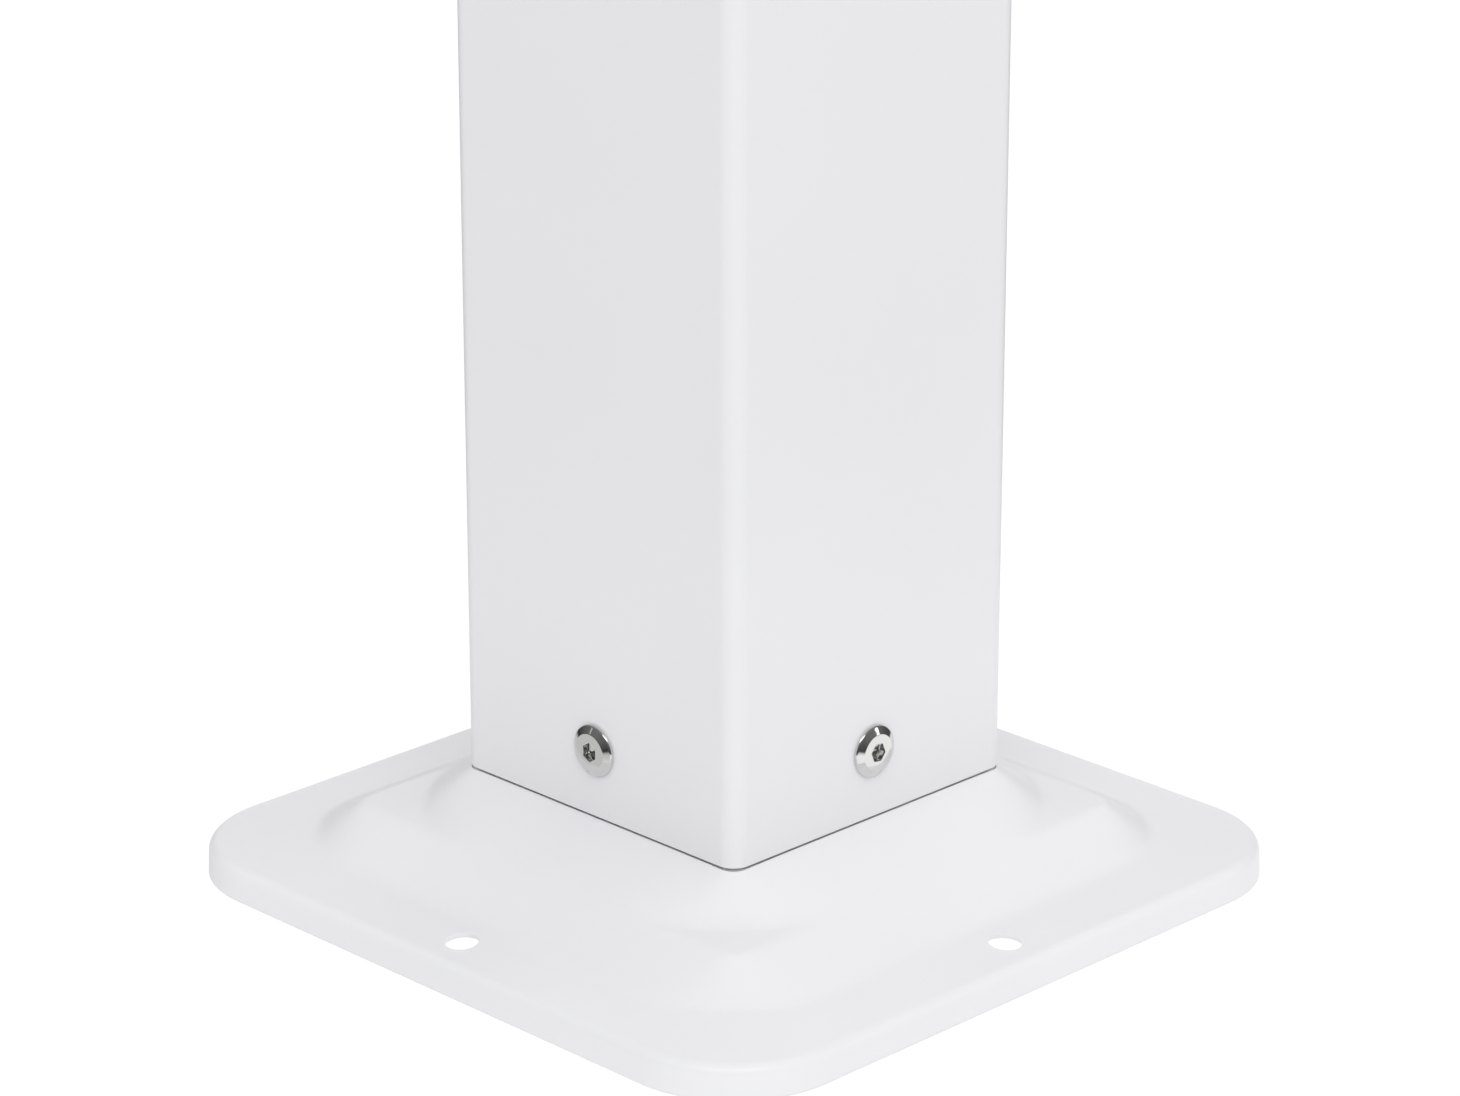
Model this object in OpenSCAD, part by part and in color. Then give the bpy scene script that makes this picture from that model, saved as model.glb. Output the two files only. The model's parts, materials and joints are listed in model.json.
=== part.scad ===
// Single-post swing gate for a store entrance.
// A pressed steel foot carries a square post, and a sprung leaf swings on two pivots behind the post.
// The origin is the middle of the foot on the floor. The closed leaf reaches along +X and opens towards +Y.

/* [Post] */
// Width of the square post
post_w = 100; // [80:5:150]
// Wall of the post
post_wall = 2; // [1.5:0.5:4]
// Rounding of the post's long edges
post_r = 4.8; // [2:0.2:10]
// Height of the cut top of the post
post_top = 940; // [800:10:1100]
// Height of the cap above the cut top
cap_rise = 8; // [4:1:20]
// Depth of the cap's skirt inside the post
cap_skirt = 10; // [6:1:10]

/* [Foot] */
// Width of the square foot
foot_w = 214.4; // [190:0.4:300]
// Rounding of the foot's corners in plan
foot_r = 31.6; // [10:0.4:60]
// Thickness of the foot's sheet
sheet_t = 1.5; // [1:0.25:3]
// Height of the flange above the floor at its rolled rim
flange_z = 8.9; // [6:0.1:20]
// Rise of the flange from its rim to the lower step
flange_rise = 1.7; // [0:0.1:4]
// Radius of the bend round the flange
bend_r = 4.1; // [2:0.1:8]
// Width of the lower step where it leaves the flange
low_step_w = 174; // [160:1:200]
// Rounding of the lower step at the flange
low_step_r = 32.4; // [5:0.2:60]
// Width of the lower step at the ledge
ledge_w = 141; // [120:1:160]
// Rounding of the lower step at the ledge
ledge_r = 3; // [1:0.5:40]
// Height of the ledge between the two steps
ledge_z = 19.3; // [12:0.1:30]
// Rounding of the upper step where it leaves the ledge
high_step_r = 44; // [5:1:60]
// Height of the flat seat that carries the post
seat_z = 29.6; // [20:0.1:50]
// Gap between the seat and the cut end of the post
post_gap = 0.3; // [0.2:0.1:2]
// Distance of each anchor hole from the middle of the foot
anchor_off = 96.3; // [80:0.1:140]
// Diameter of the anchor holes
anchor_d = 8.5; // [6:0.5:14]

/* [Socket inside the post] */
// Play between the socket and the inside of the post
socket_play = 0.3; // [0.1:0.1:1]
// Wall of the socket
socket_wall = 2.5; // [2:0.5:5]
// Height of the socket above the seat
socket_h = 60; // [40:5:120]
// Height of the post bolts above the seat
bolt_rise = 18.4; // [12:0.2:40]
// Diameter of the post bolts' heads
bolt_head_d = 14; // [10:0.5:20]

/* [Pivots] */
// Distance of the pivot axis from the middle of the post
pivot_x = 95; // [85:1:120]
// Height of the lower bracket's arm
low_arm_z = 290; // [280:5:400]
// Height of the upper bracket's arm
high_arm_z = 890; // [800:5:900]
// Thickness of each bracket's arm
arm_t = 8; // [5:1:12]
// Thickness of each bracket's back plate
back_t = 6; // [4:1:10]
// Width of each bracket's back plate
back_w = 80; // [60:2:90]
// Height of each bracket's back plate
back_h = 90; // [70:2:120]
// Diameter of the pivot pins
pin_d = 16; // [10:1:20]

/* [Closing spring] */
// Diameter of the spring's wire
wire_d = 3.5; // [2:0.5:5]
// Mean radius of the spring's coils
coil_r = 14.5; // [12:0.5:18]
// Number of coils
coils = 11.5; // [8.5:1:12.5]

/* [Leaf] */
// Outside diameter of the pivot tube
pivot_tube_d = 42; // [38:1:50]
// Wall of the pivot tube
pivot_tube_wall = 2; // [1.5:0.5:3]
// Outside diameter of the bent frame tube
frame_d = 32; // [25:1:38]
// Wall of the bent frame tube
frame_wall = 1.5; // [1:0.5:3]
// Height of the lower rail's middle
low_rail_z = 380; // [375:5:450]
// Height of the upper rail's middle
high_rail_z = 836; // [760:2:836]
// Distance of the outer upright from the middle of the post
leaf_reach = 724; // [500:4:1000]
// Radius of the frame tube's bends
frame_bend_r = 90; // [60:5:150]
// Number of upright bars
bars = 5; // [3:1:8]
// Diameter of the upright bars
bar_d = 16; // [12:1:22]
// Wall of the upright bars
bar_wall = 1.2; // [1:0.2:2]

/* [Lock] */
// Height of the lock bolt
lock_z = 640; // [500:10:750]
// Diameter of the lock bolt's nose
lock_bolt_d = 8; // [6:1:12]

/* [Hidden] */
slice = 0.01;
skin = 0.4;
half_post = post_w / 2;
post_bottom = seat_z + post_gap;
bolt_z = seat_z + bolt_rise;
socket_half = half_post - post_wall - socket_play;
back_x = half_post + back_t;
pivot_r = pivot_tube_d / 2;
low_arm_top = low_arm_z + arm_t / 2;
high_arm_top = high_arm_z + arm_t / 2;
high_arm_under = high_arm_z - arm_t / 2;
spring_room = 56;
wire_sides = 8;
coil_steps = 14;
low_shoulder = low_arm_top + spring_room;
bush_flange = 4;
bush_len = 30;
tube_bottom = low_shoulder + 0.3 + bush_flange;
tube_top = high_arm_under - 3 - 0.3 - bush_flange;
bar_pitch = (leaf_reach - pivot_x - pivot_r + 16) / (bars + 1);
bolt_spots = [[28, 32], [-28, 32], [28, -32], [-28, -32]];
stop_r = 33;
stop_angle = 63.3;
key_x = 60;
key_z = lock_z + lock_bolt_d / 2 + 5.3;
white = [0.92, 0.93, 0.95];
steel = [0.7, 0.71, 0.73];
rubber = [0.1, 0.1, 0.11];
nylon = [0.2, 0.2, 0.22];

// Square outline with rounded corners, given by half its width.
module rounded_square(half, r) {
  square([2 * half - 2 * r, 2 * half], center = true);
  square([2 * half, 2 * half - 2 * r], center = true);
  for (turn = [0:90:270])
    rotate(turn)
      translate([half - r, half - r])
        circle(r, $fn = 32);
}

// Thin slice of a rounded square whose top lies at the given height.
module layer(half, r, top) {
  translate([0, 0, top - slice])
    linear_extrude(slice)
      rounded_square(half, r);
}

// Foot filled solid: the rolled, sloping flange and the two steps, drawn in by the sheet for its hollow side.
module foot_shape(inset, drop) {
  reach = foot_w / 2 - inset;
  roll = bend_r - inset;
  hull() {
    layer(reach, foot_r - inset, slice - drop);
    for (a = [0:18:90])
      layer(reach - roll * (1 - cos(a)), foot_r - inset - roll * (1 - cos(a)),
        flange_z - inset - roll * (1 - sin(a)));
    layer(low_step_w / 2, low_step_r, flange_z + flange_rise - inset);
  }
  trim = inset > 0 ? skin : 0;
  hull() {
    layer(low_step_w / 2 - trim, low_step_r - trim, flange_z + flange_rise - inset);
    layer(ledge_w / 2 - trim, ledge_r, ledge_z - inset);
  }
  hull() {
    layer(ledge_w / 2 - trim, high_step_r - trim, ledge_z - inset);
    layer(half_post - trim, post_r, seat_z - inset);
  }
}

module base_plate() {
  color(white)
    difference() {
      foot_shape(0, 0);
      foot_shape(sheet_t, 1);
      for (turn = [0:90:270])
        rotate(turn)
          translate([anchor_off, 0, -1])
            cylinder(h = flange_z + flange_rise + 2, d = anchor_d, $fn = 48);
    }
}

// Square tube standing on the given height.
module square_tube(half, r, wall, bottom, top) {
  translate([0, 0, bottom])
    linear_extrude(top - bottom)
      difference() {
        rounded_square(half, r);
        rounded_square(half - wall, max(r - wall, 0.4));
      }
}

// Radial holes for the four post bolts.
module post_bolt_holes(d) {
  for (turn = [0:90:270])
    rotate(turn)
      translate([30, 0, bolt_z])
        rotate([0, 90, 0])
          cylinder(h = 30, d = d, $fn = 32);
}

module base_socket() {
  color(steel)
    difference() {
      square_tube(socket_half, 2.6, socket_wall, seat_z, seat_z + socket_h);
      post_bolt_holes(6.5);
    }
}

// Hexagon nut along +X with its seat at x = 0 and its body behind it.
module nut_x(flats, thick, bore) {
  rotate([0, -90, 0])
    difference() {
      cylinder(h = thick, r = flats / sqrt(3), $fn = 6);
      translate([0, 0, -1])
        cylinder(h = thick + 2, d = bore, $fn = 32);
    }
}

module socket_nuts() {
  color(steel)
    for (turn = [0:90:270])
      rotate(turn)
        translate([socket_half - socket_wall, 0, bolt_z])
          nut_x(10, 5, 6.1);
}

// Holes through the post's +X wall for one bracket.
module bracket_holes(arm_z, from, to, d) {
  for (spot = bolt_spots)
    translate([from, spot[0], arm_z + spot[1]])
      rotate([0, 90, 0])
        cylinder(h = to - from, d = d, $fn = 32);
}

module post_tube() {
  color(white)
    difference() {
      square_tube(half_post, post_r, post_wall, post_bottom, post_top);
      post_bolt_holes(6.5);
      bracket_holes(low_arm_z, 40, 60, 8.5);
      bracket_holes(high_arm_z, 40, 60, 8.5);
      for (end = [-1, 1])
        translate([40, 0, lock_z + 36 * end])
          rotate([0, 90, 0])
            cylinder(h = 20, d = 4.9, $fn = 32);
    }
}

// Flat-topped bolt along +X: bevelled head on x = 0, hexagon socket, shank behind.
module bolt_x(head_d, head_h, shank_d, shank_l, key) {
  rotate([0, 90, 0])
    difference() {
      union() {
        cylinder(h = head_h / 2, d = head_d, $fn = 64);
        translate([0, 0, head_h / 2])
          cylinder(h = head_h / 2, d1 = head_d, d2 = head_d * 0.7, $fn = 64);
        translate([0, 0, -shank_l])
          cylinder(h = shank_l, d = shank_d, $fn = 32);
      }
      translate([0, 0, head_h - 2.6])
        cylinder(h = 4, r = key / sqrt(3), $fn = 6);
      translate([0, 0, head_h - 0.35])
        cylinder(h = 0.4, d1 = key * 1.1, d2 = key * 1.3, $fn = 32);
    }
}

module post_bolts() {
  color(steel)
    for (turn = [0:90:270])
      rotate(turn)
        translate([half_post, 0, bolt_z])
          bolt_x(bolt_head_d, 2, 6, 12, 4);
}

module post_cap() {
  color(white) {
    square_tube(socket_half, 2.6, 2, post_top - cap_skirt, post_top);
    translate([0, 0, post_top])
      linear_extrude(3)
        rounded_square(half_post, post_r);
    translate([0, 0, post_top + 3])
      rotate(45)
        cylinder(h = cap_rise - 3, r1 = (half_post - 5) * sqrt(2), r2 = 9, $fn = 4);
  }
}

// Outline of a bracket's arm, from the back plate to the rounded nose.
module arm_outline() {
  polygon([[back_x, -back_w / 2], [pivot_x - 11, -back_w / 2], [pivot_x + 9, -20],
    [pivot_x + 9, 20], [pivot_x - 11, back_w / 2], [back_x, back_w / 2]]);
  translate([pivot_x, 0])
    circle(22, $fn = 64);
}

// Bracket with its gussets above the arm for side 1 and below it for side -1.
module bracket(side) {
  difference() {
    union() {
      translate([half_post, -back_w / 2, -back_h / 2])
        cube([back_t, back_w, back_h]);
      translate([0, 0, -arm_t / 2])
        linear_extrude(arm_t)
          arm_outline();
      for (y = [-14, 14])
        translate([0, y + 2.5, 0])
          rotate([90, 0, 0])
            linear_extrude(5)
              polygon([[back_x, 0], [back_x + 24, 0], [back_x + 24, side * (arm_t / 2 + 3)],
                [back_x + 3, side * 39], [back_x, side * 39]]);
    }
    translate([pivot_x, 0, -arm_t])
      cylinder(h = 2 * arm_t, d = pin_d + 0.2, $fn = 64);
    bracket_holes(0, half_post - 1, back_x + 1, 8.5);
  }
}

module lower_bracket() {
  color(white)
    difference() {
      translate([0, 0, low_arm_z])
        bracket(-1);
      translate([pivot_x + coil_r, 0, low_arm_z - arm_t])
        cylinder(h = 2 * arm_t, d = wire_d + 0.7, $fn = 32);
    }
}

module upper_bracket() {
  color(white)
    difference() {
      translate([0, 0, high_arm_z])
        bracket(1);
      for (side = [-1, 1])
        translate([pivot_x, 0, high_arm_z - arm_t])
          rotate(180 + side * stop_angle)
            translate([stop_r, 0, 0])
              cylinder(h = 2 * arm_t, d = 5.5, $fn = 32);
    }
}

module bracket_bolts() {
  color(steel)
    for (arm_z = [low_arm_z, high_arm_z])
      for (spot = bolt_spots)
        translate([back_x, spot[0], arm_z + spot[1]])
          bolt_x(16, 4, 8, 20, 5);
}

module bracket_nuts() {
  color(steel)
    for (arm_z = [low_arm_z, high_arm_z])
      for (spot = bolt_spots)
        translate([half_post - post_wall, spot[0], arm_z + spot[1]])
          nut_x(13, 6.5, 8.1);
}

module lower_pivot_pin() {
  color(steel)
    translate([pivot_x, 0, 0]) {
      translate([0, 0, low_arm_z - 20])
        cylinder(h = arm_t / 2 + 20, d = pin_d, $fn = 64);
      translate([0, 0, low_arm_top])
        cylinder(h = spring_room, d = 20, $fn = 64);
      translate([0, 0, low_shoulder])
        cylinder(h = 38, d = pin_d, $fn = 64);
      translate([0, 0, low_shoulder + 38])
        cylinder(h = 2, d1 = pin_d, d2 = pin_d - 4, $fn = 64);
    }
}

module upper_pivot_pin() {
  color(steel)
    translate([pivot_x, 0, 0]) {
      translate([0, 0, high_arm_under])
        cylinder(h = arm_t + 16, d = pin_d, $fn = 64);
      translate([0, 0, high_arm_under - 3])
        cylinder(h = 3, d = 24, $fn = 64);
      translate([0, 0, high_arm_under - 39])
        cylinder(h = 36, d = pin_d, $fn = 64);
      translate([0, 0, high_arm_under - 41])
        cylinder(h = 2, d1 = pin_d - 4, d2 = pin_d, $fn = 64);
    }
}

module pin_nuts() {
  color(steel)
    for (bottom = [low_arm_z - arm_t / 2 - 13, high_arm_top])
      translate([pivot_x, 0, bottom])
        difference() {
          cylinder(h = 13, r = 24 / sqrt(3), $fn = 6);
          translate([0, 0, -1])
            cylinder(h = 15, d = pin_d + 0.1, $fn = 64);
        }
}

// Point of the spring's wire: run is the distance round the coil.
function coil_point(run, z) =
  [coil_r * cos(run / coil_r * 180 / PI), coil_r * sin(run / coil_r * 180 / PI), z];

// Ring of points round the wire where it climbs at the given slope.
function wire_ring(run, z, slope) =
  let (a = run / coil_r * 180 / PI, p = coil_point(run, z), r = wire_d / 2)
  [for (k = [0:360 / wire_sides:359])
    p + r * cos(k) * [cos(a), sin(a), 0]
      + r * sin(k) * [sin(slope) * sin(a), -sin(slope) * cos(a), cos(slope)]];

module closer_spring() {
  foot = 3;
  first = low_arm_top + 2.2;
  last = low_shoulder - 4.2;
  length = 2 * PI * coil_r * coils;
  climb = atan((last - first) / (length - 2 * foot));
  steps = coils * coil_steps;
  rings = concat(
    [wire_ring(0, low_arm_z - 2, 90)],
    [for (s = [90:-15:15]) wire_ring(foot * (1 - sin(s)), first - foot + foot * cos(s), s)],
    [for (i = [0:steps]) wire_ring(foot + (length - 2 * foot) * i / steps,
      first + (last - first) * i / steps, climb)],
    [for (s = [15:15:90]) wire_ring(length - foot + foot * sin(s), last + foot * (1 - cos(s)), s)],
    [wire_ring(length, low_shoulder + 2.6, 90)]);
  n = len(rings);
  m = wire_sides;
  sides = [for (i = [0:n - 2], k = [0:m - 1])
    [m * i + k, m * (i + 1) + k, m * (i + 1) + (k + 1) % m, m * i + (k + 1) % m]];
  color(steel)
    translate([pivot_x, 0, 0])
      polyhedron(points = [for (ring = rings) for (p = ring) p],
        faces = concat([[for (k = [0:m - 1]) k]], sides, [[for (k = [m - 1:-1:0]) m * (n - 1) + k]]));
}

// Places its children at the two stops under the upper arm.
module at_stops() {
  for (side = [-1, 1])
    translate([pivot_x, 0, 0])
      rotate(180 + side * stop_angle)
        translate([stop_r, 0, 0])
          children();
}

module stop_bumpers() {
  color(rubber)
    at_stops()
      difference() {
        translate([0, 0, high_arm_under - 26])
          cylinder(h = 26, d = 10, $fn = 48);
        translate([0, 0, high_arm_under - 22])
          cylinder(h = 23, d = 5.1, $fn = 32);
      }
}

module bumper_screws() {
  color(steel)
    at_stops()
      difference() {
        union() {
          translate([0, 0, high_arm_under - 20])
            cylinder(h = 20 + arm_t, d = 5, $fn = 32);
          translate([0, 0, high_arm_top])
            cylinder(h = 2.6, d1 = 9.5, d2 = 8, $fn = 48);
        }
        translate([0, 0, high_arm_top + 0.6])
          cylinder(h = 3, r = 3 / sqrt(3), $fn = 6);
      }
}

module lock_housing() {
  color(white)
    difference() {
      union() {
        translate([half_post, -22, lock_z - 30])
          cube([20, 44, 60]);
        translate([half_post, -11, lock_z - 42])
          cube([4, 22, 84]);
      }
      translate([half_post - 1, -20, lock_z - 28])
        cube([19, 40, 56]);
      translate([half_post + 15, 0, lock_z])
        rotate([0, 90, 0])
          cylinder(h = 10, d = lock_bolt_d + 0.16, $fn = 48);
      translate([key_x, -19, key_z])
        rotate([90, 0, 0])
          cylinder(h = 5, d = 14.16, $fn = 48);
      for (end = [-1, 1])
        translate([half_post - 1, 0, lock_z + 36 * end])
          rotate([0, 90, 0])
            cylinder(h = 6, d = 5.4, $fn = 32);
    }
}

module lock_screws() {
  color(steel)
    for (end = [-1, 1])
      translate([half_post + 4, 0, lock_z + 36 * end])
        bolt_x(9, 2.6, 4.8, 14, 2.5);
}

module lock_bolt() {
  color(steel)
    translate([key_x - 6.5, 0, lock_z])
      rotate([0, 90, 0]) {
        cylinder(h = 17, d = lock_bolt_d, $fn = 48);
        translate([0, 0, 17])
          cylinder(h = 1, d1 = lock_bolt_d, d2 = lock_bolt_d - 2, $fn = 48);
      }
}

module key_cylinder() {
  color(steel)
    difference() {
      translate([key_x, 0, key_z])
        rotate([90, 0, 0]) {
          translate([0, 0, -6])
            cylinder(h = 12, r = 5, $fn = 48);
          translate([0, 0, 6])
            cylinder(h = 22.3, d = 14, $fn = 64);
          translate([0, 0, 22.3])
            cylinder(h = 2.5, d = 17, $fn = 64);
        }
      translate([key_x - 1.1, -29, key_z - 4.1])
        cube([2.2, 19, 8.2]);
    }
}

module lock_key() {
  color(steel)
    difference() {
      union() {
        translate([key_x - 1, -34, key_z - 4])
          cube([2, 22, 8]);
        translate([key_x + 1, -40, key_z])
          rotate([0, -90, 0])
            cylinder(h = 2, r = 8.4, $fn = 64);
      }
      translate([key_x - 2, -42.5, key_z])
        rotate([0, 90, 0])
          cylinder(h = 4, d = 5, $fn = 32);
    }
}

module pivot_tube() {
  color(white)
    difference() {
      translate([pivot_x, 0, tube_bottom])
        cylinder(h = tube_top - tube_bottom, r = pivot_r, $fn = 96);
      translate([pivot_x, 0, tube_bottom - 1])
        cylinder(h = tube_top - tube_bottom + 2, r = pivot_r - pivot_tube_wall, $fn = 96);
      for (turn = [90, 180])
        translate([pivot_x, 0, lock_z])
          rotate(turn)
            rotate([0, 90, 0])
              cylinder(h = pivot_r + 2, d = lock_bolt_d + 1.2, $fn = 48);
    }
}

// Flanged bush whose flange lies at z = 0 and whose sleeve goes up.
module bush() {
  difference() {
    union() {
      translate([0, 0, -bush_flange])
        cylinder(h = bush_flange, r = pivot_r, $fn = 64);
      cylinder(h = bush_len, r = pivot_r - pivot_tube_wall - 0.05, $fn = 64);
    }
    translate([0, 0, -bush_flange - 1])
      cylinder(h = bush_len + bush_flange + 2, d = pin_d + 0.1, $fn = 64);
  }
}

module lower_bush() {
  color(nylon)
    translate([pivot_x, 0, tube_bottom])
      difference() {
        bush();
        rotate(coils * 360)
          translate([coil_r, 0, -bush_flange - 1])
            cylinder(h = 4.5, d = wire_d + 0.7, $fn = 32);
      }
}

module upper_bush() {
  color(nylon)
    translate([pivot_x, 0, tube_top])
      mirror([0, 0, 1])
        bush();
}

// Solid path of the bent frame at the given tube radius, from the pivot axis round and back.
module frame_path(r) {
  run = leaf_reach - frame_bend_r - pivot_x;
  for (z = [low_rail_z, high_rail_z])
    translate([pivot_x, 0, z])
      rotate([0, 90, 0])
        cylinder(h = run, r = r, $fn = 48);
  translate([leaf_reach, 0, low_rail_z + frame_bend_r])
    cylinder(h = high_rail_z - low_rail_z - 2 * frame_bend_r, r = r, $fn = 48);
  translate([leaf_reach - frame_bend_r, 0, high_rail_z - frame_bend_r])
    rotate([90, 0, 0])
      rotate_extrude(angle = 90, $fn = 96)
        translate([frame_bend_r, 0])
          circle(r, $fn = 48);
  translate([leaf_reach - frame_bend_r, 0, low_rail_z + frame_bend_r])
    mirror([0, 0, 1])
      rotate([90, 0, 0])
        rotate_extrude(angle = 90, $fn = 96)
          translate([frame_bend_r, 0])
            circle(r, $fn = 48);
}

module leaf_frame() {
  color(white)
    difference() {
      frame_path(frame_d / 2);
      frame_path(frame_d / 2 - frame_wall);
      translate([pivot_x, 0, low_rail_z - 40])
        cylinder(h = high_rail_z - low_rail_z + 80, r = pivot_r + 0.02, $fn = 96);
    }
}

module infill_bars() {
  color(white)
    difference() {
      for (i = [1:bars])
        translate([pivot_x + pivot_r + i * bar_pitch - 8, 0, low_rail_z])
          difference() {
            cylinder(h = high_rail_z - low_rail_z, d = bar_d, $fn = 48);
            translate([0, 0, -1])
              cylinder(h = high_rail_z - low_rail_z + 2, d = bar_d - 2 * bar_wall, $fn = 48);
          }
      for (z = [low_rail_z, high_rail_z])
        translate([pivot_x, 0, z])
          rotate([0, 90, 0])
            cylinder(h = leaf_reach - pivot_x, r = frame_d / 2 + 0.05, $fn = 96);
    }
}

module stop_collar() {
  color(steel)
    translate([pivot_x, 0, high_arm_under - 28])
      difference() {
        linear_extrude(16)
          difference() {
            union() {
              circle(26, $fn = 96);
              rotate(135)
                translate([22, -5])
                  square([15.5, 10]);
            }
            circle(pivot_r + 0.05, $fn = 96);
          }
        rotate(-45)
          translate([10, 0, 8])
            rotate([0, 90, 0])
              cylinder(h = 20, d = 5.1, $fn = 32);
      }
}

module collar_screw() {
  color(steel)
    translate([pivot_x, 0, high_arm_under - 20])
      rotate(-45)
        translate([pivot_r + 0.05, 0, 0])
          rotate([0, 90, 0])
            difference() {
              cylinder(h = 5, d = 5, $fn = 32);
              translate([0, 0, 2.5])
                cylinder(h = 3, r = 2.5 / sqrt(3), $fn = 6);
            }
}

base_plate();
base_socket();
socket_nuts();
post_tube();
post_bolts();
post_cap();
lower_bracket();
upper_bracket();
bracket_bolts();
bracket_nuts();
lower_pivot_pin();
upper_pivot_pin();
pin_nuts();
closer_spring();
stop_bumpers();
bumper_screws();
lock_housing();
lock_screws();
pivot_tube();
lower_bush();
upper_bush();
leaf_frame();
infill_bars();
stop_collar();
collar_screw();
lock_bolt();
key_cylinder();
lock_key();
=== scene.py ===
"""Store entrance swing gate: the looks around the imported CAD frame.

Metres, in the CAD frame: the post stands on the origin and the closed leaf reaches along +X.
"""

import json
import math

import bpy
import numpy as np
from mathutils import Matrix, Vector


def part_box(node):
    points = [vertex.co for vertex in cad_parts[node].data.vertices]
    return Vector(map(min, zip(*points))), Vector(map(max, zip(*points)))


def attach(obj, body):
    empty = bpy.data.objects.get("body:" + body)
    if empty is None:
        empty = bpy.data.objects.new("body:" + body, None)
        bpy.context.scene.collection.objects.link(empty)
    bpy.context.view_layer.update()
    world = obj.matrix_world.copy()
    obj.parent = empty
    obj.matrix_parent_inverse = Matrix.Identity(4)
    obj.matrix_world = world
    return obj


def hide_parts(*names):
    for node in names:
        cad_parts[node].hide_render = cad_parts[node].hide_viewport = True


MM = 0.001
QUARTER = math.pi / 2

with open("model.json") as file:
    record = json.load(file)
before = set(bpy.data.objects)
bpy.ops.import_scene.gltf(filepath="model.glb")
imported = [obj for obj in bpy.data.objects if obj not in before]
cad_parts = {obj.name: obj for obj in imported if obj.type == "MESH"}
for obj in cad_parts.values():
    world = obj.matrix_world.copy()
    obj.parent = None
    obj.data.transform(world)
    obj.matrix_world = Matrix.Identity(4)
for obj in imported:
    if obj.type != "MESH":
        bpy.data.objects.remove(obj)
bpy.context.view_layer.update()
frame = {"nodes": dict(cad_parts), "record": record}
nodes = frame["nodes"]
record = frame["record"]
slot_of = {part["node"]: part["material_slot"] for part in record["subparts"]}


# ---------------------------------------------------------------- places read from the frame
foot_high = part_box("base_plate")[1]
post_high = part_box("post_tube")[1]
bolt_low, bolt_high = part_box("post_bolts")
foot_half = foot_high[0]
seat_z = foot_high[2]
post_half = post_high[0]
bolt_z = (bolt_low[2] + bolt_high[2]) / 2


# ---------------------------------------------------------------- camera
# Where the camera stands, seen from a point just above the floor in the middle of the foot.
CAMERA_PIVOT = Vector((0, 0, 0.020))
CAMERA_TURN = math.radians(-44.89)
CAMERA_RISE = math.radians(22.97)
CAMERA_REACH = 1.33699
# Where it looks: level enough to keep the foot low in the picture.
CAMERA_AIM = math.radians(-44.84)
CAMERA_PITCH = math.radians(20.16)
# Focal length in widths of the picture.
LENS_PER_WIDTH = 5085 / 1460


def toward(turn, rise):
    """Unit vector from the object to a viewer at that turn and rise."""
    return Vector((
        math.sin(turn) * math.cos(rise),
        -math.cos(turn) * math.cos(rise),
        math.sin(rise),
    ))


def make_camera():
    data = bpy.data.cameras.new("camera")
    data.sensor_fit = "HORIZONTAL"
    data.sensor_width = 36
    data.lens = LENS_PER_WIDTH * data.sensor_width
    data.clip_start = 0.01
    data.clip_end = 100
    camera = bpy.data.objects.new("camera", data)
    camera.location = CAMERA_PIVOT + CAMERA_REACH * toward(CAMERA_TURN, CAMERA_RISE)
    aim = -toward(CAMERA_AIM, CAMERA_PITCH)
    camera.rotation_euler = aim.to_track_quat("-Z", "Y").to_euler()
    bpy.context.collection.objects.link(camera)
    bpy.context.scene.camera = camera


# ---------------------------------------------------------------- shader nodes
def new_material(name, colour, rough=0.5, metal=0.0):
    """A principled material and its tree, with the constants set on the shader itself."""
    material = bpy.data.materials.new(name)
    material.use_nodes = True
    shader = material.node_tree.nodes["Principled BSDF"]
    shader.inputs["Base Color"].default_value = (*colour, 1)
    shader.inputs["Roughness"].default_value = rough
    shader.inputs["Metallic"].default_value = metal
    return material, material.node_tree, shader


def math_node(tree, operation, *values):
    """Maths on values, each a constant or the output of a node."""
    node = tree.nodes.new("ShaderNodeMath")
    node.operation = operation
    for socket, value in zip(node.inputs, values):
        if isinstance(value, (int, float)):
            socket.default_value = value
        else:
            tree.links.new(value, socket)
    return node.outputs[0]


def remap(tree, value, span, onto):
    """Carries a value from one span onto another, and holds it at the ends."""
    spread = tree.nodes.new("ShaderNodeMapRange")
    spread.inputs["From Min"].default_value, spread.inputs["From Max"].default_value = span
    spread.inputs["To Min"].default_value, spread.inputs["To Max"].default_value = onto
    tree.links.new(value, spread.inputs["Value"])
    return spread.outputs["Result"]


def colour_ramp(tree, value, stops):
    """Colour read off a ramp with (place, colour) stops, in rising order."""
    ramp = tree.nodes.new("ShaderNodeValToRGB")
    elements = ramp.color_ramp.elements
    for element, (place, colour) in zip(elements, (stops[0], stops[-1])):
        element.position = place
        element.color = (*colour, 1)
    for place, colour in stops[1:-1]:
        elements.new(place).color = (*colour, 1)
    tree.links.new(value, ramp.inputs["Fac"])
    return ramp.outputs["Color"]


def add_noise(tree, scale, detail=2.0, stretch=(1, 1, 1)):
    """Noise in the object's own coordinates, in features per metre."""
    place = tree.nodes.new("ShaderNodeTexCoord")
    squeeze = tree.nodes.new("ShaderNodeMapping")
    squeeze.inputs["Scale"].default_value = stretch
    noise = tree.nodes.new("ShaderNodeTexNoise")
    noise.inputs["Scale"].default_value = scale
    noise.inputs["Detail"].default_value = detail
    tree.links.new(place.outputs["Object"], squeeze.inputs["Vector"])
    tree.links.new(squeeze.outputs["Vector"], noise.inputs["Vector"])
    return noise.outputs["Fac"]


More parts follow.
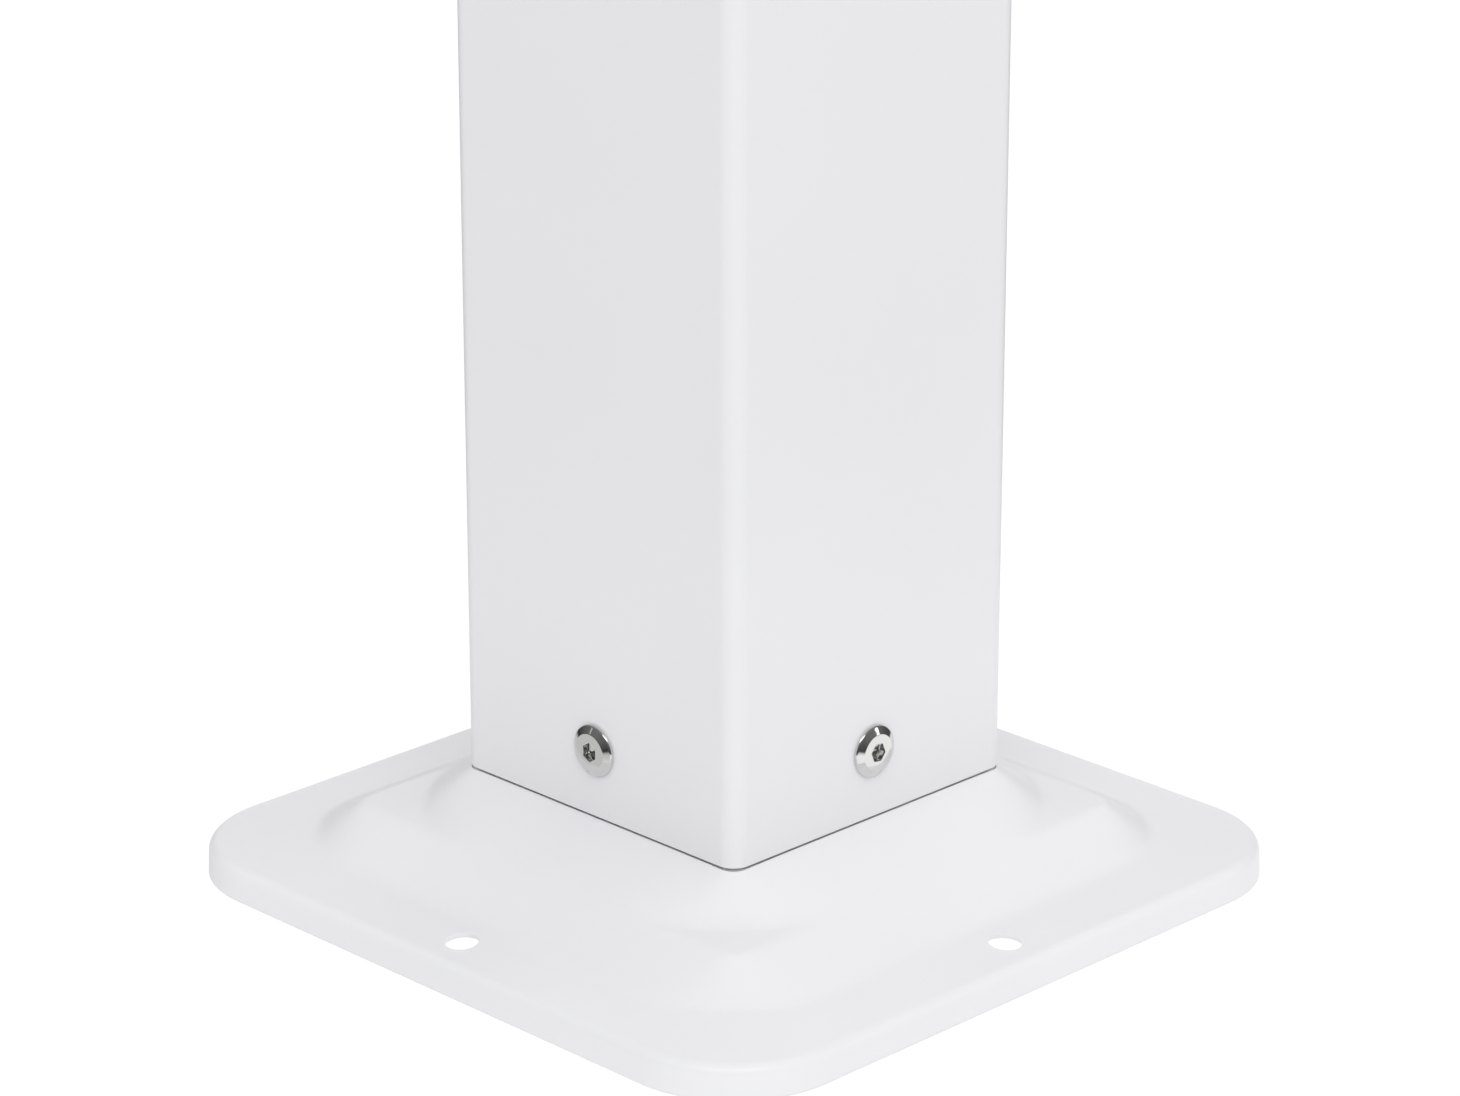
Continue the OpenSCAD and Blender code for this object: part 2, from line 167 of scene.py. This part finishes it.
def add_bump(tree, shader, height, depth, strength):
    """Fine relief of that depth in metres."""
    bump = tree.nodes.new("ShaderNodeBump")
    bump.inputs["Strength"].default_value = strength
    bump.inputs["Distance"].default_value = depth
    tree.links.new(height, bump.inputs["Height"])
    tree.links.new(bump.outputs["Normal"], shader.inputs["Normal"])


def vary_colour(tree, shader, value, dark, light):
    """Base colour that wanders between two tones."""
    colour = colour_ramp(tree, value, ((0.3, dark), (0.7, light)))
    tree.links.new(colour, shader.inputs["Base Color"])


def vary_roughness(tree, shader, value, low, high):
    tree.links.new(remap(tree, value, (0, 1), (low, high)), shader.inputs["Roughness"])


# ---------------------------------------------------------------- materials
def powder_coat(name):
    """Cool white powder coat: satin, with a faint orange peel."""
    material, tree, shader = new_material(name, (0.80, 0.80, 0.82), rough=0.32)
    shader.inputs["Specular IOR Level"].default_value = 0.35
    vary_colour(tree, shader, add_noise(tree, 9, detail=3),
                dark=(0.790, 0.790, 0.815), light=(0.810, 0.810, 0.828))
    vary_roughness(tree, shader, add_noise(tree, 140), 0.29, 0.36)
    add_bump(tree, shader, add_noise(tree, 520, detail=1), depth=0.00003, strength=0.5)
    return material


def chrome(name):
    """Bright nickel-chrome plate with faint polishing haze."""
    material, tree, shader = new_material(name, (0.71, 0.71, 0.70), rough=0.07, metal=1.0)
    vary_roughness(tree, shader, add_noise(tree, 900), 0.05, 0.11)
    add_bump(tree, shader, add_noise(tree, 2500), depth=0.000004, strength=0.4)
    return material


def zinc(name):
    """Blue-white zinc plate with a patchy grain."""
    material, tree, shader = new_material(name, (0.60, 0.62, 0.64), rough=0.34, metal=1.0)
    vary_colour(tree, shader, add_noise(tree, 160, detail=3),
                dark=(0.52, 0.54, 0.57), light=(0.67, 0.68, 0.69))
    vary_roughness(tree, shader, add_noise(tree, 420), 0.26, 0.42)
    add_bump(tree, shader, add_noise(tree, 1500), depth=0.00002, strength=0.5)
    return material


def spring_wire(name):
    """Drawn wire: darker steel with a streaky grain."""
    material, tree, shader = new_material(name, (0.36, 0.36, 0.37), rough=0.28, metal=1.0)
    vary_colour(tree, shader, add_noise(tree, 300, stretch=(1, 1, 6)),
                dark=(0.30, 0.30, 0.31), light=(0.42, 0.42, 0.43))
    add_bump(tree, shader, add_noise(tree, 900, stretch=(1, 1, 8)), depth=0.00002, strength=0.4)
    return material


def rubber(name):
    """Matt black moulded rubber."""
    material, tree, shader = new_material(name, (0.020, 0.020, 0.022), rough=0.72)
    vary_roughness(tree, shader, add_noise(tree, 260), 0.62, 0.82)
    add_bump(tree, shader, add_noise(tree, 1800, detail=3), depth=0.00006, strength=0.6)
    return material


def nylon(name):
    """Dark grey moulded nylon."""
    material, tree, shader = new_material(name, (0.055, 0.056, 0.060), rough=0.50)
    vary_roughness(tree, shader, add_noise(tree, 320), 0.42, 0.58)
    add_bump(tree, shader, add_noise(tree, 1400), depth=0.00003, strength=0.5)
    return material


MATERIALS = {
    "white_powder": powder_coat("white_powder"),
    "leaf_powder": powder_coat("leaf_powder"),
    "chrome_bolts": chrome("chrome_bolts"),
    "zinc_steel": zinc("zinc_steel"),
    "spring_steel": spring_wire("spring_steel"),
    "black_rubber": rubber("black_rubber"),
    "grey_nylon": nylon("grey_nylon"),
    "lock_metal": chrome("lock_metal"),
}


# ---------------------------------------------------------------- mesh helpers
def make_piece(name, points, faces, slot, body, sharp):
    """A mesh object riding on a body, smooth except where edges turn by more than sharp degrees."""
    mesh = bpy.data.meshes.new(name)
    mesh.from_pydata([tuple(p) for p in points], [], faces)
    mesh.validate()
    mesh.polygons.foreach_set("use_smooth", [True] * len(mesh.polygons))
    mesh.set_sharp_from_angle(angle=math.radians(sharp))
    mesh.materials.append(MATERIALS[slot])
    piece = bpy.data.objects.new(name, mesh)
    bpy.context.collection.objects.link(piece)
    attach(piece, body)
    return piece


def closed_faces(rings, size):
    """Quads that join each ring of that many points to the next, and a face over each end."""
    faces = []
    for i in range(rings - 1):
        for k in range(size):
            a = i * size + k
            b = i * size + (k + 1) % size
            faces.append((a, b, b + size, a + size))
    faces.append(tuple(range(size - 1, -1, -1)))
    faces.append(tuple((rings - 1) * size + k for k in range(size)))
    return faces


# ---------------------------------------------------------------- the pressed foot
# The sheet, and the heights of its rolled rim, of the sloping flange and of the ledge.
SHEET = 1.5 * MM
FLANGE_Z = 8.9 * MM
FLANGE_RISE = 1.7 * MM
LEDGE_Z = 19.3 * MM
# The rim: radius of its bend, how far its wall leans out, its corners and its bottom edge.
BEND_R = 2.6 * MM
RIM_FLARE = 0.25 * MM
FOOT_R = 31.6 * MM
RIM_CHAMFER = 0.3 * MM
FLAT_HALF = foot_half - RIM_FLARE - BEND_R
FLAT_R = FOOT_R - RIM_FLARE - BEND_R
# Rounded squares that bound the steps: half width and corner radius.
FLANGE_EDGE = (FLAT_HALF, FLAT_R)
LOW_STEP = (87 * MM, 32.4 * MM)
LEDGE_EDGE = (70.5 * MM, 6 * MM)
HIGH_STEP = (70.5 * MM, 44 * MM)
POST_EDGE = (post_half, 4.8 * MM)
HIGH_TOP = (post_half - 0.5 * MM, 4.8 * MM)
# A groove hidden under the post's edge, which keeps the seam dark: depth, inset, half its width.
SEAM_DEPTH = 0.9 * MM
SEAM_INSET = 1.3 * MM
SEAM_REACH = 1.1 * MM
# Anchor holes in the middle of each side.
ANCHOR_OFF = 96.3 * MM
ANCHOR_R = 4.25 * MM
# Points in each outline, and where outlines lie: shares of the post's width in the middle,
# millimetres inside the post's edge, and heights up the rim's wall.
RING = 480
MIDDLE_SHARES = (0.02, 0.5, 0.9)
INSETS_UNDER_POST = (2.5, 2.3, 1.3, 0.32)
FIELD_RINGS = 82
WALL_HEIGHTS = (5.5 * MM, 0.8 * MM, RIM_CHAMFER)
OUTER_BEND_ANGLES = np.linspace(0, QUARTER, 10)[1:]
INNER_BEND_ANGLES = np.linspace(QUARTER, 0, 8)


def outline(half, r):
    """Points of a rounded square. The same index lies on the same stretch of every outline."""
    quarter = RING // 4
    straight = quarter // 2
    points = []
    for turn in range(4):
        cos, sin = math.cos(turn * QUARTER), math.sin(turn * QUARTER)
        spin = np.array([[cos, -sin], [sin, cos]])
        for k in range(straight):
            points.append(spin @ (half, (half - r) * (2 * k / straight - 1)))
        for k in range(quarter - straight):
            a = k / (quarter - straight) * QUARTER
            points.append(spin @ (half - r + r * math.cos(a), half - r + r * math.sin(a)))
    return np.array(points)


def distance_outside(xy, half, r):
    """Signed distance from a rounded square, positive outside it."""
    q = np.abs(xy) - (half - r)
    return np.hypot(*np.maximum(q, 0).T) + np.minimum(q.max(axis=1), 0) - r


def bend(t, blend):
    """Nought, then a straight rise from t = 0, with the corner rounded over that distance."""
    return np.clip(t + blend, 0, 2 * blend) ** 2 / (4 * blend) + np.maximum(t - blend, 0)


def soft_ramp(t, foot_blend, top_blend):
    """0 to 1 along a straight ramp whose two ends are rounded over those shares of its length."""
    return bend(t, foot_blend) - bend(t - 1, top_blend)


def step_share(xy, outer, inner, foot_blend, top_blend):
    """How far up a pressed step each point lies, from 0 outside its foot to 1 inside its top."""
    inside = -distance_outside(xy, *outer)
    outside = distance_outside(xy, *inner)
    return soft_ramp(inside / np.maximum(inside + outside, 1 * MM), foot_blend, top_blend)


def foot_height(xy):
    """Height of the sheet's upper side at each point."""
    flange = step_share(xy, FLANGE_EDGE, LOW_STEP, 0.08, 0.08)
    low = step_share(xy, LOW_STEP, LEDGE_EDGE, 0.14, 0.14)
    high = step_share(xy, HIGH_STEP, HIGH_TOP, 0.16, 0.02)
    groove = np.abs(distance_outside(xy, *POST_EDGE) + SEAM_INSET) < SEAM_REACH
    low_top = FLANGE_Z + FLANGE_RISE
    rise = FLANGE_RISE * flange + (LEDGE_Z - low_top) * low + (seat_z - LEDGE_Z) * high
    return FLANGE_Z + rise - SEAM_DEPTH * groove


def level(xy, z):
    return np.column_stack((xy, np.full(RING, z)))


def rim_bend(radius, angles):
    """Outlines round the rim's bend, at that radius from its centre line."""
    rings = []
    for a in angles:
        reach = radius * math.sin(a)
        xy = outline(FLAT_HALF + reach, FLAT_R + reach)
        rings.append(level(xy, FLANGE_Z - BEND_R + radius * math.cos(a)))
    return rings


def make_foot():
    """The pressed sheet: a field of nested outlines, the rolled rim, and the same again inside."""
    field = [outline(post_half * s, POST_EDGE[1] * s) for s in MIDDLE_SHARES]
    field += [outline(post_half - inset * MM, POST_EDGE[1]) for inset in INSETS_UNDER_POST]
    inner = outline(*POST_EDGE)
    outer = outline(*FLANGE_EDGE)
    field += [inner + (outer - inner) * s for s in np.linspace(0, 1, FIELD_RINGS)]
    points = [np.column_stack((xy, foot_height(xy))) for xy in field]
    points += rim_bend(BEND_R, OUTER_BEND_ANGLES)
    for z in WALL_HEIGHTS:
        inset = RIM_FLARE * z / (FLANGE_Z - BEND_R)
        points.append(level(outline(foot_half - inset, FOOT_R - inset), z))
    for inset in (RIM_CHAMFER, SHEET):
        points.append(level(outline(foot_half - inset, FOOT_R - inset), 0))
    points += rim_bend(BEND_R - SHEET, INNER_BEND_ANGLES)
    points += [np.column_stack((xy, foot_height(xy) - SHEET)) for xy in reversed(field)]
    faces = [face[::-1] for face in closed_faces(len(points), RING)]
    foot = make_piece("foot_shell", np.concatenate(points), faces, "white_powder", "post", sharp=50)
    for turn in range(4):
        drill_anchor_hole(foot, turn * QUARTER)
    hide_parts("base_plate")


def drill_anchor_hole(foot, turn):
    """Cuts one anchor hole through the sloping flange, with a rounded, painted edge."""
    edge = 0.15 * MM
    tilt = FLANGE_RISE / (FLAT_HALF - LOW_STEP[0])
    top = FLANGE_Z + tilt * (FLAT_HALF - ANCHOR_OFF)
    # Radius, and height over the flange: widening inside the foot, straight, then the soft edge.
    profile = [
        (ANCHOR_R + 1.3 * MM, -SHEET - 1.2 * MM),
        (ANCHOR_R, -0.6 * MM),
        (ANCHOR_R, -edge),
        (ANCHOR_R + 0.3 * edge, -0.3 * edge),
        (ANCHOR_R + 1.6 * edge, 0.6 * edge),
        (ANCHOR_R + 1.6 * edge, 2 * MM),
    ]
    out = Vector((math.cos(turn), math.sin(turn), 0))
    across = Vector((-out.y, out.x, 0))
    count = 64
    points = []
    for r, z in profile:
        for k in range(count):
            a = k * math.tau / count
            lift = Vector((0, 0, top + z - tilt * r * math.cos(a)))
            points.append(out * (ANCHOR_OFF + r * math.cos(a)) + across * (r * math.sin(a)) + lift)
    mesh = bpy.data.meshes.new("drill")
    mesh.from_pydata(points, [], closed_faces(len(profile), count))
    mesh.materials.append(MATERIALS["white_powder"])
    drill = bpy.data.objects.new("drill", mesh)
    bpy.context.collection.objects.link(drill)
    cut = foot.modifiers.new("cut", "BOOLEAN")
    cut.operation = "DIFFERENCE"
    cut.solver = "EXACT"
    cut.object = drill
    with bpy.context.temp_override(object=foot, active_object=foot):
        bpy.ops.object.modifier_apply(modifier="cut")
    bpy.data.objects.remove(drill)


# ---------------------------------------------------------------- bolts
# Degrees that each of the post's bolts is turned in its hole, as a hand leaves them.
POST_BOLT_TWISTS = (20, 75, 2, 22)


def bolt_rings(head_r, head_h, flat_r, key, shank_r, shank_l):
    """Rings of a bolt along its axis: reach, radius, share of a hexagon in the outline.

    The shank, the head's side, its bevel and flat, then the socket for the hexagon key.
    """
    soft = 0.02 * head_r
    rim = 0.52 * head_h
    key_r = key / 2
    return [
        (-shank_l, 0.2 * shank_r, 0),
        (-shank_l, shank_r - 0.5 * MM, 0),
        (-shank_l + 0.5 * MM, shank_r, 0),
        (0, shank_r, 0),
        (0, head_r - soft, 0),
        (soft, head_r, 0),
        (rim - 4 * soft, head_r, 0),
        (rim - 2.6 * soft, head_r - 0.25 * soft, 0),
        (rim - 1.2 * soft, head_r - 1.0 * soft, 0),
        (rim - 0.2 * soft, head_r - 2.1 * soft, 0),
        (rim + 0.5 * soft, head_r - 3.4 * soft, 0),
        (head_h - 0.7 * soft, flat_r + 1.5 * soft, 0),
        (head_h - 0.2 * soft, flat_r + 0.6 * soft, 0),
        (head_h, flat_r - 0.5 * soft, 0),
        (head_h, key_r * 1.20, 0.5),
        (head_h, key_r * 1.09, 1),
        (head_h - 0.3 * soft, key_r * 1.05, 1),
        (head_h - 0.12 * key, key_r, 1),
        (head_h - 0.50 * key, key_r, 1),
        (head_h - 0.56 * key, key_r * 0.7, 0.3),
        (head_h - 0.65 * key, key_r * 0.1, 0),
    ]


def hexagon(angle):
    """Reach of a hexagon with flats one unit from its middle."""
    return 1 / math.cos((angle + math.pi / 6) % (math.pi / 3) - math.pi / 6)


def make_bolt(name, centre, facing, rings, twist, count=96):
    """A bolt seated at centre, its head along facing, a unit vector in plan. Twist in degrees."""
    out = Vector(facing)
    across = Vector((-out.y, out.x, 0))
    up = Vector((0, 0, 1))
    turned = math.radians(twist)
    points = []
    for reach, radius, share in rings:
        for k in range(count):
            a = k * math.tau / count
            r = radius * (1 + share * (hexagon(a) - 1))
            points.append(Vector(centre) + out * reach
                          + across * (r * math.cos(a + turned)) + up * (r * math.sin(a + turned)))
    faces = closed_faces(len(rings), count)
    return make_piece(name, points, faces, "chrome_bolts", "post", sharp=30)


def make_post_bolts():
    rings = bolt_rings(head_r=7 * MM, head_h=2 * MM, flat_r=4.9 * MM, key=4.2 * MM,
                       shank_r=3 * MM, shank_l=12 * MM)
    for i, twist in enumerate(POST_BOLT_TWISTS):
        facing = (math.cos(i * QUARTER), math.sin(i * QUARTER), 0)
        centre = (post_half * facing[0], post_half * facing[1], bolt_z)
        bolt = make_bolt(f"post_bolt_{i + 1}", centre, facing, rings, twist)
        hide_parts("post_bolts")


def make_bracket_bolts():
    """Four bolts at each bracket, laid out in the box that holds all eight."""
    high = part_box("bracket_bolts")[1]
    head_r = 8 * MM
    head_h = 4 * MM
    rings = bolt_rings(head_r, head_h, flat_r=5.6 * MM, key=5 * MM, shank_r=4 * MM, shank_l=20 * MM)
    seat_x = high[0] - head_h
    across = high[1] - head_r
    above = 32 * MM
    places = [(y, z) for z in (above, -above) for y in (across, -across)]
    for bracket in ("lower_bracket", "upper_bracket"):
        bracket_low, bracket_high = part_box(bracket)
        middle = (bracket_low[2] + bracket_high[2]) / 2
        for i, (y, z) in enumerate(places):
            bolt = make_bolt(f"{bracket}_bolt_{i + 1}", (seat_x, y, middle + z), (1, 0, 0), rings,
                             twist=23 * i + 7)
            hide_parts("bracket_bolts")


def make_lock_screws():
    low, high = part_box("lock_screws")
    head_r = 4.5 * MM
    head_h = 2.6 * MM
    rings = bolt_rings(head_r, head_h, flat_r=3.2 * MM, key=2.5 * MM, shank_r=2.4 * MM,
                       shank_l=14 * MM)
    for i, z in enumerate((low[2] + head_r, high[2] - head_r)):
        screw = make_bolt(f"lock_screw_{i + 1}", (high[0] - head_h, 0, z), (1, 0, 0), rings,
                          twist=40 * i + 12, count=64)
        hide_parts("lock_screws")


# ---------------------------------------------------------------- weld beads
BAR_COUNT = 5


def make_bead(name, curve, core, radius, count=72, sides=10):
    """A closed weld bead round a curve, rippled as a welder leaves it.

    Curve gives the bead's middle at each angle, and core the point that the bead faces away from.
    """
    step = 0.01
    points = []
    for i in range(count):
        a = i * math.tau / count
        middle = curve(a)
        along = (curve(a + step) - curve(a - step)).normalized()
        out = (middle - core(middle)).normalized()
        up = along.cross(out).normalized()
        ripple = radius * (1 + 0.07 * math.sin(24 * a) + 0.05 * math.sin(5 * a + 1))
        for k in range(sides):
            b = k * math.tau / sides
            points.append(middle + out * (ripple * math.cos(b)) + up * (ripple * math.sin(b)))
    faces = []
    for i in range(count):
        for k in range(sides):
            a, b = i * sides + k, i * sides + (k + 1) % sides
            c, d = (i + 1) % count * sides + (k + 1) % sides, (i + 1) % count * sides + k
            faces.append((a, d, c, b))
    make_piece(name, points, faces, "leaf_powder", "leaf", sharp=60)


def make_welds():
    """Beads where the rails meet the pivot tube and where the bars meet the rails."""
    tube_low, tube_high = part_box("pivot_tube")
    frame_low, frame_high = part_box("leaf_frame")
    bars_low, bars_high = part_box("infill_bars")
    pivot_x = (tube_low[0] + tube_high[0]) / 2
    tube_r = (tube_high[0] - tube_low[0]) / 2
    rail_r = (frame_high[1] - frame_low[1]) / 2
    bar_r = (bars_high[1] - bars_low[1]) / 2
    pitch = (bars_high[0] - bars_low[0] - 2 * bar_r) / (BAR_COUNT - 1)
    rails = (("lower", frame_low[2] + rail_r, 1), ("upper", frame_high[2] - rail_r, -1))
    for label, rail_z, inward in rails:
        def end_curve(a):
            y = rail_r * math.cos(a)
            x = pivot_x + math.sqrt(tube_r ** 2 - y * y)
            return Vector((x, y, rail_z + rail_r * math.sin(a)))

        def rail_core(point):
            return Vector((point.x, 0, rail_z))

        make_bead(f"weld_{label}_rail", end_curve, rail_core, 1.5 * MM)
        for i in range(BAR_COUNT):
            bar_x = bars_low[0] + bar_r + i * pitch

            def bar_curve(a):
                y = bar_r * math.sin(a)
                z = rail_z + inward * math.sqrt(rail_r ** 2 - y * y)
                return Vector((bar_x + bar_r * math.cos(a), y, z))

            def bar_core(point):
                return Vector((bar_x, 0, point.z))

            make_bead(f"weld_{label}_bar_{i + 1}", bar_curve, bar_core, 1.0 * MM, count=60, sides=8)


# ---------------------------------------------------------------- CAD nodes keep their shape
# Rounded edges, in millimetres.
SOFT_EDGES = {
    "lower_bracket": 0.6,
    "upper_bracket": 0.6,
    "lock_housing": 0.8,
    "stop_collar": 0.4,
    "post_cap": 0.6,
}


def dress_cad_nodes():
    """Gives every CAD node its material, and some a rounded edge."""
    for name, node in nodes.items():
        node.data.materials.clear()
        node.data.materials.append(MATERIALS[slot_of[name]])
        if name in SOFT_EDGES:
            soft = node.modifiers.new("soft_edges", "BEVEL")
            soft.width = SOFT_EDGES[name] * MM
            soft.segments = 2
            soft.limit_method = "ANGLE"
            soft.angle_limit = math.radians(40)
            soft.harden_normals = True


# ---------------------------------------------------------------- studio
# Broad light of the room on matt surfaces: where each lobe lies, how narrow and how bright it is.
ROOM_LIGHT = [
    ((-0.51, -0.51, 0.67), 8, 2.7),
    ((0, -0.7, 0.7), 4, 0.6),
    ((0.7, 0, 0.7), 4, 1.0),
    ((0, 0.7, 0.7), 4, 0.6),
    ((-0.7, 0.7, 0.3), 2, 0.55),
    ((0.7, -0.7, 0.3), 2, 0.25),
]
# A white wall behind the post, which only reflections show. The foot's far slopes mirror it.
BACK_WALL = [((0.7, 0.7, 0.0), 12, 1.1)]
# The rest of the room in reflections, from straight down at 0 to straight up at 1:
# white below the horizon at 0.5, dark above it and paler overhead.
MIRRORED_ROOM = ((0.0, 0.90), (0.499, 0.90), (0.50, 0.07), (0.90, 0.30))
# Windows that only reflections show: direction, width, height and brightness.
WINDOW_REACH = 3.0
WINDOWS = {
    "window_front": ((-0.44, -0.44, 0.75), 2.4, 0.9, 2.8),
    "strip_right": ((0.65, -0.71, 0.26), 0.56, 0.7, 2.6),
    "strip_left": ((-0.71, 0.65, 0.26), 0.20, 0.7, 0.5),
}
# The floor glows just enough to read as pure white.
FLOOR_REACH = 30
FLOOR_Z = -0.2 * MM
FLOOR_GLOW = 1.02
# The card that reflections show in place of the floor: its tone fades over a span of distance
# from the post, and falls over a span across the view, towards CARD_SIDE.
CARD_REACH = 20
CARD_Z = -0.1 * MM
CARD_FADE = ((0.22, 0.42), (1.0, 0.07))
CARD_SIDE = (-0.707, 0.707, 0)
CARD_SIDE_FADE = ((0.04, 0.10), (1.11, 0.68))


def make_glowing_sheet(name, reach, height):
    """A large flat sheet with no light but its own, and the tree and shader that give it."""
    material, tree, shader = new_material(name, (0, 0, 0))
    shader.inputs["Specular IOR Level"].default_value = 0
    shader.inputs["Emission Color"].default_value = (1, 1, 1, 1)
    mesh = bpy.data.meshes.new(name)
    corners = [(-reach, -reach, 0), (reach, -reach, 0), (reach, reach, 0), (-reach, reach, 0)]
    mesh.from_pydata(corners, [], [(0, 1, 2, 3)])
    mesh.materials.append(material)
    sheet = bpy.data.objects.new(name, mesh)
    sheet.location.z = height
    bpy.context.collection.objects.link(sheet)
    return sheet, tree, shader


def make_floor():
    floor, _, shader = make_glowing_sheet("floor", FLOOR_REACH, FLOOR_Z)
    shader.inputs["Emission Strength"].default_value = FLOOR_GLOW


def make_mirror_card():
    """What polished parts mirror in place of the floor: white near the foot, dark farther out."""
    card, tree, shader = make_glowing_sheet("mirror_card", CARD_REACH, CARD_Z)
    place = tree.nodes.new("ShaderNodeTexCoord")
    far = tree.nodes.new("ShaderNodeVectorMath")
    far.operation = "LENGTH"
    tree.links.new(place.outputs["Object"], far.inputs[0])
    side = tree.nodes.new("ShaderNodeVectorMath")
    side.operation = "DOT_PRODUCT"
    side.inputs[1].default_value = CARD_SIDE
    tree.links.new(place.outputs["Object"], side.inputs[0])
    tone = remap(tree, far.outputs["Value"], *CARD_FADE)
    side_tone = remap(tree, side.outputs["Value"], *CARD_SIDE_FADE)
    tree.links.new(math_node(tree, "MULTIPLY", tone, side_tone), shader.inputs["Emission Strength"])
    card.visible_camera = False
    card.visible_diffuse = False
    card.visible_transmission = False
    card.visible_shadow = False


def room_brightness(tree, direction, lobes):
    """Sum of soft lobes of light in each direction."""
    total = 0.0
    for aim, spread, strength in lobes:
        facing = tree.nodes.new("ShaderNodeVectorMath")
        facing.operation = "DOT_PRODUCT"
        facing.inputs[1].default_value = Vector(aim).normalized()
        tree.links.new(direction, facing.inputs[0])
        toward_it = math_node(tree, "MAXIMUM", facing.outputs["Value"], 0.0)
        lobe = math_node(tree, "POWER", toward_it, spread)
        total = math_node(tree, "ADD", math_node(tree, "MULTIPLY", lobe, strength), total)
    return total


def make_world():
    """Soft light for matt surfaces, a darker room for reflections, and white for the camera."""
    world = bpy.data.worlds.new("studio")
    world.use_nodes = True
    tree = world.node_tree
    tree.nodes.clear()
    place = tree.nodes.new("ShaderNodeTexCoord")
    path = tree.nodes.new("ShaderNodeLightPath")
    parts = tree.nodes.new("ShaderNodeSeparateXYZ")
    tree.links.new(place.outputs["Generated"], parts.inputs["Vector"])
    height = math_node(tree, "MULTIPLY_ADD", parts.outputs["Z"], 0.5, 0.5)
    room = colour_ramp(tree, height, [(z, (tone, tone, tone)) for z, tone in MIRRORED_ROOM])
    wall = room_brightness(tree, place.outputs["Generated"], BACK_WALL)
    matt = room_brightness(tree, place.outputs["Generated"], ROOM_LIGHT)
    is_glossy = path.outputs["Is Glossy Ray"]
    glossy = math_node(tree, "MULTIPLY", math_node(tree, "ADD", room, wall), is_glossy)
    soft = math_node(tree, "MULTIPLY", matt, math_node(tree, "SUBTRACT", 1.0, is_glossy))
    light = math_node(tree, "ADD", glossy, soft)
    glow = tree.nodes.new("ShaderNodeBackground")
    glow.inputs["Color"].default_value = (1, 1, 1, 1)
    tree.links.new(math_node(tree, "MAXIMUM", light, path.outputs["Is Camera Ray"]),
                   glow.inputs["Strength"])
    out = tree.nodes.new("ShaderNodeOutputWorld")
    tree.links.new(glow.outputs["Background"], out.inputs["Surface"])
    bpy.context.scene.world = world


def make_window(name, direction, width, height, brightness):
    """A soft box that lights nothing and shows only in reflections."""
    data = bpy.data.lights.new(name, "AREA")
    data.shape = "RECTANGLE"
    data.size = width
    data.size_y = height
    data.energy = brightness * math.pi * width * height
    light = bpy.data.objects.new(name, data)
    light.location = Vector(direction).normalized() * WINDOW_REACH
    light.rotation_euler = light.location.to_track_quat("Z", "Y").to_euler()
    light.visible_diffuse = False
    light.visible_camera = False
    bpy.context.collection.objects.link(light)


make_camera()
make_world()
for window, shape in WINDOWS.items():
    make_window(window, *shape)
make_floor()
make_mirror_card()
dress_cad_nodes()
make_foot()
make_post_bolts()
make_bracket_bolts()
make_lock_screws()
make_welds()

bpy.context.scene.view_settings.view_transform = "Standard"
bpy.context.scene.view_settings.look = "None"
